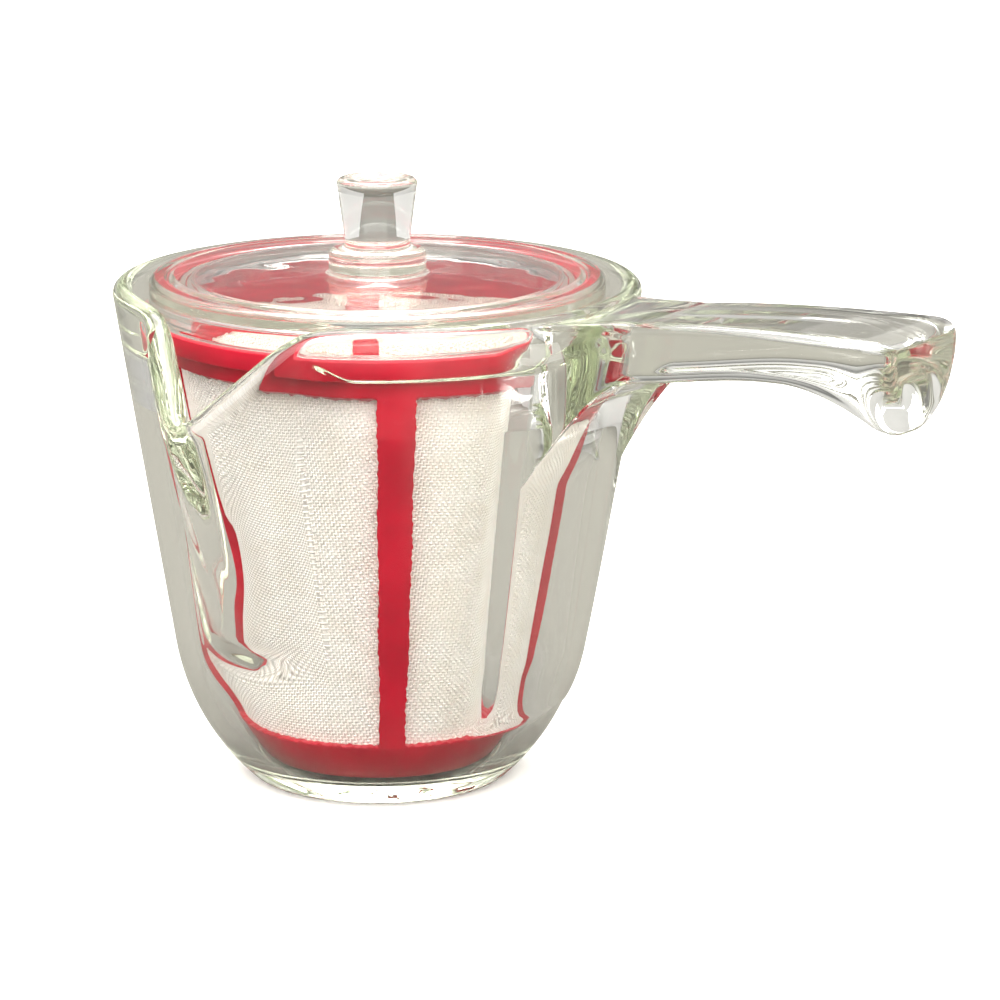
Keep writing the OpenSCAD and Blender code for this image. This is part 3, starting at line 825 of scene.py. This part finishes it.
def inside_parts(form, beak):
    """Rows (r, z) of the inside wall with its trough and the bowl, and of the floor."""
    floor_z = form.pot.floor_depth
    last_z = floor_z + 2.5 * MM
    cone_z = np.linspace(form.JOIN, form.core_top, 40)[1:]
    low_z = np.concatenate((cone_z, np.linspace(form.core_top, last_z, 18)[1:]))[:, None]
    corners = [(form.core(last_z), last_z), (form.core(floor_z), floor_z), (0, floor_z)]
    well = rounded(corners, [form.pot.floor_round], 8)[1:-1]
    floor_r = np.concatenate((well[:, 0], np.linspace(well[-1, 0], 0, 7)[1:]))[:, None]
    floor_h = np.concatenate((well[:, 1], np.full(6, floor_z)))[:, None]
    return [(form.trough(low_z, beak), low_z), (floor_r, floor_h)]


def patch_edge(ids, skin, low, high, wide):
    """The edge of the patch under the handle, from its lower -Y corner round by +Y.

    Gives its vertex numbers and, at each, the direction along the wall into the patch, evened out so
    that the root's curves leave the corners side by side.
    """
    edge = [ids[low, :wide], ids[low:high, wide], ids[high, wide:0:-1], ids[high:low:-1, 0]]
    inward = [
        (skin[low + 1] - skin[low - 1])[:wide],
        (skin[:, wide - 1] - skin[:, wide + 1])[low:high],
        (skin[high - 1] - skin[high + 1])[wide:0:-1],
        (skin[:, 1] - skin[:, -1])[high:low:-1],
    ]
    inward = np.concatenate([v / np.linalg.norm(v, axis=1, keepdims=True) for v in inward])
    inward = even_out(inward, 7)
    return np.concatenate(edge), inward / np.linalg.norm(inward, axis=1, keepdims=True)


def pot_surface(pot, bar):
    """Points and faces of the pot and its handle as one closed skin.

    Columns run round the pot, and rows from the base's centre up the outside, over the lip and down
    the inside to the floor's centre. A patch of the outside is left out, and the handle's loops
    start from its edge.
    """
    form = PotForm(pot)
    angles, wide = pot_columns(bar.root_angle)
    beak = np.abs((angles + 1.5 * math.pi) % (2 * math.pi) - math.pi)[None]
    side = np.abs((angles + math.pi) % (2 * math.pi) - math.pi)[None]
    outside, heights = outside_parts(form, beak, side)
    lean = mix(form.lip_start(beak)[2], form.lip_end(beak)[2], np.linspace(0, 1, 19)[1:, None])
    parts = [*outside, form.lip_point(beak, lean), seat_part(form, beak), *inside_parts(form, beak)]
    r, z = (
        np.concatenate([np.broadcast_to(part[i], (len(part[i]), len(angles))) for part in parts])
        for i in (0, 1)
    )
    skin = np.stack((r * np.cos(angles), r * np.sin(angles), z), -1)
    # The patch under the handle's root, from its lower fillet to part of the way up the lip
    first_wall = sum(len(part[0]) for part in outside[:-1])
    low = first_wall + int(np.argmax(heights[:, 0] > bar.root_foot))
    high = first_wall + len(heights) + 4
    ids = np.arange(r.size).reshape(r.shape)
    quads = grid_quads(ids, wrap_columns=True)
    keep = np.ones(quads.shape[:2], bool)
    keep[low:high, :wide] = False
    edge, inward = patch_edge(ids, skin, low, high, wide)
    sections = bar_sections(bar, wide, high - low)
    points = skin.reshape(-1, 3)
    root = root_loops(bar, points[edge], inward, sections[0], wide, high - low)
    loops = np.concatenate((root, sections))
    loop_ids = len(points) + np.arange(loops.shape[0] * loops.shape[1]).reshape(loops.shape[:2])
    bar_quads = grid_quads(np.concatenate((edge[None], loop_ids)), wrap_columns=True)
    points = np.concatenate((points, loops.reshape(-1, 3)))
    return points, np.concatenate((quads[keep], bar_quads.reshape(-1, 4)))


class TEAPOT_OT_pot(bpy.types.Operator):
    """Build the glass pot with its beak and its side handle"""

    bl_idname = "teapot.pot"
    bl_label = "Pot and handle"

    def execute(self, context):
        sizes, finish = context.scene.teapot_pot, context.scene.teapot_finishes
        points, quads = pot_surface(sizes, context.scene.teapot_handle)
        glass = pressed_glass("pressed_soda_lime_glass", finish.pot_tint, finish.pot_density)
        make_piece("glass_pot", points, quads, "pot", glass, ["pot_body", "pot_handle"])
        return {"FINISHED"}


# Strainer


def basket_profile(sizes):
    """The moulded frame's closed profile (r, z), down the outside and up the inside.

    Also gives the rows of the windows' tops and bottoms on both sides.
    """
    gap = sizes.touch_gap
    top = BASKET_HIGH.z - gap
    seat = BASKET_HIGH.z - sizes.flange_height + gap
    band = seat - sizes.collar_height
    foot = BASKET_LOW.z
    ring = foot + sizes.ring_height
    net = NET_LOW.z
    sill, head = PANEL_LOW.z, PANEL_HIGH.z
    slope = (sizes.collar_radius - sizes.ring_radius) / (band - ring)
    rows_z = np.linspace(head, sill, 92)
    wall_r = sizes.ring_radius + slope * (rows_z - ring)
    ledge_r = sizes.foot_radius - sizes.wall - sizes.ledge
    bore = sizes.collar_radius - sizes.wall
    collar_r = sizes.collar_radius + sizes.rib_proud
    foot_edge = 0.6 * MM
    above = [
        (bore, top),
        (sizes.flange_radius, top),
        (sizes.flange_radius, seat),
        (collar_r, seat),
        (collar_r, band),
    ]
    below = [
        (sizes.ring_radius, ring),
        (sizes.foot_radius, foot + foot_edge),
        (sizes.foot_radius - foot_edge, foot),
        (ledge_r, foot),
        (ledge_r, net),
        (sizes.foot_radius - sizes.wall, net),
        (sizes.ring_radius - sizes.wall, ring),
    ]
    outer = np.column_stack((wall_r, rows_z))
    inner = np.column_stack((wall_r - sizes.wall, rows_z))[::-1]
    profile = np.concatenate((above, outer, below, inner, [(bore, band)]))
    first = len(above)
    second = first + len(outer) + len(below)
    return profile, (first, first + len(outer) - 1), (second, second + len(inner) - 1)


def wander(place, seed):
    """A repeatable uneven line from -1 to 1: three sines whose lengths don't match."""
    waves = ((1.7, 1), (4.3, 2.1), (9.1, 3.7))
    return sum(np.sin(place * rate + shift * seed) for rate, shift in waves) / len(waves)


def basket_surface(sizes):
    """Points and faces of the moulded frame: its profile turned round the axis, with windows cut out.

    A window's edges wander by the flash, and faces across the wall close it between the inside and
    the outside.
    """
    profile, outside, inside = basket_profile(sizes)
    # Columns across a rib, and from one rib to the next
    rib, whole = 10, 90
    step = 2 * math.pi / sizes.rib_count
    half = sizes.rib_angle / 2
    on_rib = np.linspace(-half, half, rib, endpoint=False)
    one = np.concatenate((on_rib, np.linspace(half, step - half, whole - rib, endpoint=False)))
    angles = np.concatenate([sizes.rib_turn + i * step + one for i in range(sizes.rib_count)])
    columns = np.arange(len(angles))
    grid_a = np.broadcast_to(angles, (len(profile), len(angles))).copy()
    grid_r = np.broadcast_to(profile[:, :1], grid_a.shape).copy()
    grid_z = np.broadcast_to(profile[:, 1:], grid_a.shape).copy()
    rib_rows = slice(outside[0], outside[1] + 1)
    fade = ease(profile[rib_rows, 1], PANEL_LOW.z, PANEL_LOW.z + sizes.rib_fade)[:, None]
    grid_r[rib_rows] += sizes.rib_proud * fade * (columns % whole <= rib)
    for rows in (outside, inside):
        span = slice(rows[0], rows[1] + 1)
        high = profile[span, 1][:, None]
        for edge, way in ((0, -1), (rib, 1)):
            at = columns[columns % whole == edge]
            shift = sizes.flash * wander(high / (1.1 * MM), at[None] * 0.37)
            grid_a[span, at] += way * shift / grid_r[span, at]
        for row in rows:
            grid_z[row] += sizes.flash * wander(angles * 30, row)
    points = np.stack((grid_r * np.cos(grid_a), grid_r * np.sin(grid_a), grid_z), -1)
    ids = np.arange(len(profile) * len(angles)).reshape(grid_a.shape)
    quads = grid_quads(ids, wrap_rows=True, wrap_columns=True)
    keep = np.ones(quads.shape[:2], bool)
    open_columns = columns % whole >= rib
    for rows in (outside, inside):
        keep[rows[0] : rows[1], open_columns] = False
    # Faces across the wall, round each window
    out_ids = ids[outside[0] : outside[1] + 1]
    in_ids = ids[inside[0] : inside[1] + 1][::-1]
    closing = []
    for edge in (0, rib):
        at = columns[columns % whole == edge]
        near, far = out_ids[:, at], in_ids[:, at]
        closing.append(np.stack((near[:-1], near[1:], far[1:], far[:-1]), -1).reshape(-1, 4))
    starts = columns[open_columns]
    ends = (starts + 1) % len(columns)
    for row in (0, -1):
        near, far = out_ids[row], in_ids[row]
        closing.append(np.stack((near[starts], near[ends], far[ends], far[starts]), -1))
    return points, np.concatenate([quads[keep], *closing])


class TEAPOT_OT_basket(bpy.types.Operator):
    """Build the strainer's moulded red frame"""

    bl_idname = "teapot.basket"
    bl_label = "Strainer frame"

    def execute(self, context):
        points, quads = basket_surface(context.scene.teapot_strainer)
        plastic = moulded_polypropylene(context.scene.teapot_finishes.red)
        piece = make_piece(
            "moulded_frame", points, quads, "strainer", plastic, ["strainer_frame"]
        )
        bevel = piece.modifiers.new("moulded_edges", "BEVEL")
        bevel.width = 0.35 * MM
        bevel.segments = 2
        bevel.limit_method = "ANGLE"
        bevel.angle_limit = math.radians(38)
        return {"FINISHED"}


def woven(across, along, sizes, place, inside):
    """Points and faces of a plain weave, put on a surface by place(u, v, height).

    Each thread is a flat tube of four sides that goes over and under its neighbours, so its height
    swings up and down at each crossing. A ring outside the net shrinks to a point and ends the tube.
    """
    u, v = np.meshgrid(across, along, indexing="ij")
    parity = np.indices(u.shape).sum(0) % 2 * 2 - 1
    halves = (sizes.thread / 2, sizes.thread_depth / 2)
    offsets = np.array([(1, 0), (0, 1), (-1, 0), (0, -1)]) * halves
    held = inside(u, v)
    points, quads, count = [], [], 0
    for warp in (True, False):
        cu, cv, up, on = (u, v, parity, held) if warp else (u.T, v.T, -parity.T, held.T)
        wide = on[..., None] * offsets[:, 0]
        height = sizes.swing * up[..., None] + on[..., None] * offsets[:, 1]
        flat = np.zeros_like(wide)
        du, dv = (wide, flat) if warp else (flat, wide)
        ring = place(cu[..., None] + du, cv[..., None] + dv, height)
        ids = count + np.arange(on.size * 4).reshape(*on.shape, 4)
        nxt = np.roll(ids, -1, -1)
        faces = np.stack((ids[:, :-1], nxt[:, :-1], nxt[:, 1:], ids[:, 1:]), -1)
        shown = on[:, :-1] | on[:, 1:]
        points.append(ring.reshape(-1, 3))
        quads.append(faces[shown].reshape(-1, 4))
        count += on.size * 4
    return np.concatenate(points), np.concatenate(quads)


def panel_surface(sizes, index):
    """A window's net, woven flat and rolled on the basket's cone.

    On the unrolled cone a point is at a slant distance from the apex and at an angle that is the
    turn round the basket times the sine of the cone's half angle.
    """
    ring_z = BASKET_LOW.z + sizes.ring_height
    band_z = BASKET_HIGH.z - sizes.flange_height - sizes.collar_height
    cone = math.atan((sizes.collar_radius - sizes.ring_radius) / (band_z - ring_z))
    # The net lies 0.4 mm out from the inside of the moulded wall
    net_r = sizes.ring_radius - sizes.wall + 0.4 * MM
    apex = ring_z - net_r / math.tan(cone)
    step = 2 * math.pi / sizes.rib_count
    middle = sizes.rib_turn + step * (index + 0.5)
    reach = (step - sizes.rib_angle) / 2
    # How far the net runs into the moulded edges of its window
    margin = 0.9 * MM
    low = (PANEL_LOW.z - margin - apex) / math.cos(cone)
    high = (PANEL_HIGH.z + margin - apex) / math.cos(cone)
    side = high * math.sin((reach + 0.03) * math.sin(cone))
    count = int(side / sizes.pitch)
    across = np.arange(-count, count + 1) * sizes.pitch
    along = np.arange(low * math.cos(reach * math.sin(cone)), high, sizes.pitch)

    def place(u, v, height):
        slant = np.hypot(u, v)
        angle = middle + np.arctan2(u, v) / math.sin(cone)
        r = slant * math.sin(cone) + height * math.cos(cone)
        z = apex + slant * math.cos(cone) - height * math.sin(cone)
        return np.stack((r * np.cos(angle), r * np.sin(angle), z), -1)

    def inside(u, v):
        slant = np.hypot(u, v)
        angle = np.abs(np.arctan2(u, v)) / math.sin(cone)
        edge = angle * slant * math.sin(cone) < reach * slant * math.sin(cone) + margin
        return edge & (slant > low) & (slant < high)

    return woven(across, along, sizes, place, inside)


def floor_net_surface(sizes):
    """The bottom net: a flat weave inside a circle."""
    radius, middle = NET_HIGH.x - 0.1 * MM, (NET_LOW.z + NET_HIGH.z) / 2
    count = int(radius / sizes.pitch) + 1
    lines = np.arange(-count, count + 1) * sizes.pitch

    def place(u, v, height):
        return np.stack(np.broadcast_arrays(u, v, middle + height), -1)

    return woven(lines, lines, sizes, place, lambda u, v: np.hypot(u, v) < radius)


class TEAPOT_OT_net(bpy.types.Operator):
    """Build the strainer's woven net, a panel for each window and one at the bottom"""

    bl_idname = "teapot.net"
    bl_label = "Strainer net"

    def execute(self, context):
        sizes, finish = context.scene.teapot_strainer, context.scene.teapot_finishes
        nylon = woven_nylon(finish.net, finish.net_shade)
        for index, node in enumerate(PANELS):
            points, quads = panel_surface(sizes, index)
            make_piece(f"net_{index + 1}", points, quads, "strainer", nylon, [node])
        points, quads = floor_net_surface(sizes)
        make_piece("net_bottom", points, quads, "strainer", nylon, ["mesh_base"])
        return {"FINISHED"}


# Lid


def lid_profile(lid):
    """The lid's profile (r, z) from the middle of its underside round to the knob's hollow top.

    The plate is flat in the middle and falls to a groove near its edge as a quarter sine. Round it are
    the centring ring, the seat and the bead, and on it the knob: a round foot, a neck and a flared head.
    """
    ring_r = lid.spigot_radius - lid.spigot_width
    groove_r, groove_z = lid.radius - 2.6 * lid.bead, lid.edge_top - lid.groove
    under_z = lid.flat_top - lid.depth
    under = np.column_stack((np.linspace(0, 0.9 * ring_r, 6), np.full(6, under_z)))
    edge = rounded(
        [
            under[-1],
            (ring_r, under_z),
            (ring_r, LID_LOW.z),
            (lid.spigot_radius, LID_LOW.z),
            (lid.spigot_radius, lid.seat),
            (lid.radius, lid.seat),
            (lid.radius, lid.edge_top),
            (lid.radius - 2 * lid.bead, lid.edge_top),
            (groove_r, groove_z),
        ],
        [1 * MM, 0.9 * MM, 0.9 * MM, 0.4 * MM, 0.7 * MM, 1.5 * MM, 1.2 * MM],
    )
    t = np.linspace(0, 1, 16)
    fall = mix(groove_z, lid.flat_top, np.sin(t * math.pi / 2))
    slope = np.column_stack((mix(groove_r, lid.flat, t), fall))
    flat_r = np.linspace(lid.flat - 1 * MM, lid.knob_base + 1.5 * MM, 5)
    flat = np.column_stack((flat_r, np.full(5, lid.flat_top)))
    shoulder = KNOB_LOW.z + lid.knob_base_height
    top, dish_r = KNOB_HIGH.z, lid.knob_head - lid.knob_rim
    knob = rounded(
        [
            flat[-1],
            (lid.knob_base, lid.flat_top),
            (lid.knob_base, shoulder),
            (lid.knob_neck, shoulder),
            (lid.knob_head, top),
            (dish_r, top),
        ],
        [1 * MM, 1.5 * MM, 1.6 * MM, 1.6 * MM],
    )
    t = np.linspace(1, 0, 12)
    dish = np.column_stack((dish_r * t, top - lid.knob_dish * (1 - t**2)))
    return np.concatenate((under[:-1], edge[:-1], slope, flat[:-1], knob[:-1], dish))


class TEAPOT_OT_lid(bpy.types.Operator):
    """Build the loose glass lid with its knob"""

    bl_idname = "teapot.lid"
    bl_label = "Lid and knob"

    def execute(self, context):
        profile = lid_profile(context.scene.teapot_lid)
        angle = np.linspace(0, 2 * math.pi, 180, endpoint=False)
        r, z = profile[:, :1], profile[:, 1:]
        height = np.broadcast_to(z, (len(profile), len(angle)))
        points = np.stack((r * np.cos(angle), r * np.sin(angle), height), -1)
        quads = grid_quads(np.arange(height.size).reshape(height.shape), wrap_columns=True)
        finish = context.scene.teapot_finishes
        glass = pressed_glass("pressed_lid_glass", finish.lid_tint, finish.lid_density)
        make_piece("glass_lid", points, quads, "lid", glass, ["lid_plate", "lid_knob"])
        return {"FINISHED"}


# Stage


def aim(stage):
    """The camera's place and turn, so that the rim's centre falls on its pixel with no roll or shift."""
    right = (stage.rim_u - stage.frame_size / 2) / stage.focal
    up = (stage.frame_size / 2 - stage.rim_v) / stage.focal
    size = math.sqrt(1 + right**2 + up**2)
    pitch = math.asin(-size * math.sin(stage.elevation) / math.hypot(1, up)) - math.atan(up)
    yaw = stage.azimuth + math.atan2(right, math.cos(pitch) - up * math.sin(pitch))
    level = stage.distance * math.cos(stage.elevation)
    place = (
        level * math.sin(stage.azimuth),
        -level * math.cos(stage.azimuth),
        POT_HIGH.z + stage.distance * math.sin(stage.elevation),
    )
    return place, (math.pi / 2 + pitch, 0, yaw)


def towards_camera(stage):
    """The level direction from the pot to the camera."""
    return (math.sin(stage.azimuth), -math.cos(stage.azimuth), 0)


def area_light(name, place, target, size, power):
    """A soft rectangular light that faces a target."""
    light = bpy.data.lights.new(name, "AREA")
    light.shape = "RECTANGLE"
    light.size, light.size_y = size
    light.energy = power
    light.color = WARM_WHITE
    lamp = bpy.data.objects.new(name, light)
    lamp.location = place
    away = np.subtract(place, target)
    flat = math.hypot(away[0], away[1])
    lamp.rotation_euler = (math.atan2(flat, away[2]), 0, math.atan2(away[0], -away[1]))
    bpy.context.scene.collection.objects.link(lamp)


def studio_sky(stage):
    """Surroundings of the stage: brightness by height behind the pot and in front, mixed by direction.

    Behind the pot it dips where the flat lid mirrors it, so that the strainer shows through the lid.
    In front it is dark low down and pale high up.
    """
    world = bpy.data.worlds.new("studio_sky")
    world.use_nodes = True
    tree = world.node_tree
    tree.nodes.clear()
    way = add_node(tree, "ShaderNodeTexCoord").outputs["Generated"]
    front = towards_camera(stage)
    facing = add_node(tree, "ShaderNodeVectorMath", {1: front}, {0: way}, operation="DOT_PRODUCT")
    side = add_node(
        tree,
        "ShaderNodeMapRange",
        {"From Min": -0.3, "From Max": 0.4},
        {"Value": facing.outputs["Value"]},
        interpolation_type="SMOOTHSTEP",
    )
    height = add_node(tree, "ShaderNodeSeparateXYZ", links={"Vector": way}).outputs["Z"]

    def ramp(stops):
        node = add_node(tree, "ShaderNodeFloatCurve", links={"Value": height})
        curve = node.mapping.curves[0]
        for place, level in stops[1:-1]:
            curve.points.new(place, level)
        for point, stop in zip((curve.points[0], curve.points[-1]), (stops[0], stops[-1])):
            point.location = stop
        node.mapping.update()
        return node.outputs["Value"]

    back = ramp(
        [(0, 0.3), (0.1, 0.2), (0.19, 0.11), (0.25, 0.3), (0.4, 0.4), (0.75, 0.4), (0.9, 0.7), (1, 0.8)]
    )
    fore = ramp([(0, 0.1), (0.3, 0.12), (0.45, 0.6), (0.75, 0.75), (0.9, 0.8), (1, 0.8)])
    level = add_node(tree, "ShaderNodeMix", links={"Factor": side.outputs["Result"], "A": back, "B": fore})
    power = add_node(
        tree, "ShaderNodeMath", {1: stage.sky}, {0: level.outputs["Result"]}, operation="MULTIPLY"
    )
    sky = add_node(tree, "ShaderNodeBackground", links={"Strength": power.outputs["Value"]})
    sky.inputs["Color"].default_value = (*WARM_WHITE, 1)
    add_node(tree, "ShaderNodeOutputWorld", links={"Surface": sky.outputs["Background"]})
    return world


class TEAPOT_OT_stage(bpy.types.Operator):
    """Set up the camera, the pale floor and the soft lights"""

    bl_idname = "teapot.stage"
    bl_label = "Stage"

    def execute(self, context):
        stage, scene = context.scene.teapot_stage, context.scene
        lens = bpy.data.cameras.new("photo_camera")
        lens.sensor_width = 36
        lens.lens = stage.focal * lens.sensor_width / stage.frame_size
        lens.clip_end = 50
        camera = bpy.data.objects.new("photo_camera", lens)
        camera.location, camera.rotation_euler = aim(stage)
        scene.collection.objects.link(camera)
        scene.camera = camera
        half = stage.floor_size
        sheet = bpy.data.meshes.new("floor")
        drop = -0.1 * MM
        sheet.from_pydata(
            [(-half, -half, drop), (half, -half, drop), (half, half, drop), (-half, half, drop)],
            [],
            [(0, 1, 2, 3)],
        )
        finish = scene.teapot_finishes
        front = towards_camera(stage)
        paper = studio_paper(finish.floor, finish.floor_back, finish.floor_front, front)
        sheet.materials.append(paper)
        floor = bpy.data.objects.new("floor", sheet)
        scene.collection.objects.link(floor)
        middle = (0, 0, 60 * MM)
        # Place and size in metres of each soft light
        area_light("key", (0.7, -1.22, 0.95), middle, (2.4, 1.6), stage.key)
        area_light("top", (-0.1, 0.1, 1.2), middle, (1.0, 1.0), stage.top)
        area_light("fill", (-0.5, 0.8, 1.6), middle, (1.2, 0.8), stage.fill)
        scene.world = studio_sky(stage)
        scene.view_settings.view_transform = "Standard"
        # Light is caught in thick glass for many bounces, and no filter may dim what is behind it
        scene.cycles.sample_clamp_indirect = 0
        scene.cycles.max_bounces = 64
        scene.cycles.transmission_bounces = 48
        scene.cycles.diffuse_bounces = 8
        scene.cycles.glossy_bounces = 48
        scene.cycles.blur_glossy = 0
        return {"FINISHED"}


class TEAPOT_PT_panel(bpy.types.Panel):
    """Lists the teapot's pieces"""

    bl_idname = "TEAPOT_PT_panel"
    bl_label = "Cold brew teapot"
    bl_space_type = "VIEW_3D"
    bl_region_type = "UI"
    bl_category = "Teapot"

    def draw(self, context):
        for operator in OPERATORS:
            self.layout.operator(operator.bl_idname)
        for key in GROUPS:
            box = self.layout.box()
            group = getattr(context.scene, key)
            for name in group.__annotations__:
                box.prop(group, name)


GROUPS = {
    "teapot_pot": PotSizes,
    "teapot_handle": HandleSizes,
    "teapot_strainer": StrainerSizes,
    "teapot_lid": LidSizes,
    "teapot_finishes": Finishes,
    "teapot_stage": StageSizes,
}
OPERATORS = (TEAPOT_OT_pot, TEAPOT_OT_basket, TEAPOT_OT_net, TEAPOT_OT_lid, TEAPOT_OT_stage)


def register():
    """Makes the sizes, the operators and the panel known to Blender."""
    for key, group in GROUPS.items():
        bpy.utils.register_class(group)
        setattr(bpy.types.Scene, key, PointerProperty(type=group))
    for operator in OPERATORS:
        bpy.utils.register_class(operator)
    bpy.utils.register_class(TEAPOT_PT_panel)


def unregister():
    """Takes everything that register made away again."""
    bpy.utils.unregister_class(TEAPOT_PT_panel)
    for operator in reversed(OPERATORS):
        bpy.utils.unregister_class(operator)
    for key, group in reversed(GROUPS.items()):
        delattr(bpy.types.Scene, key)
        bpy.utils.unregister_class(group)


def main():
    register()
    bpy.ops.teapot.pot()
    bpy.ops.teapot.basket()
    bpy.ops.teapot.net()
    bpy.ops.teapot.lid()
    bpy.ops.teapot.stage()


if __name__ == "__main__":
    main()
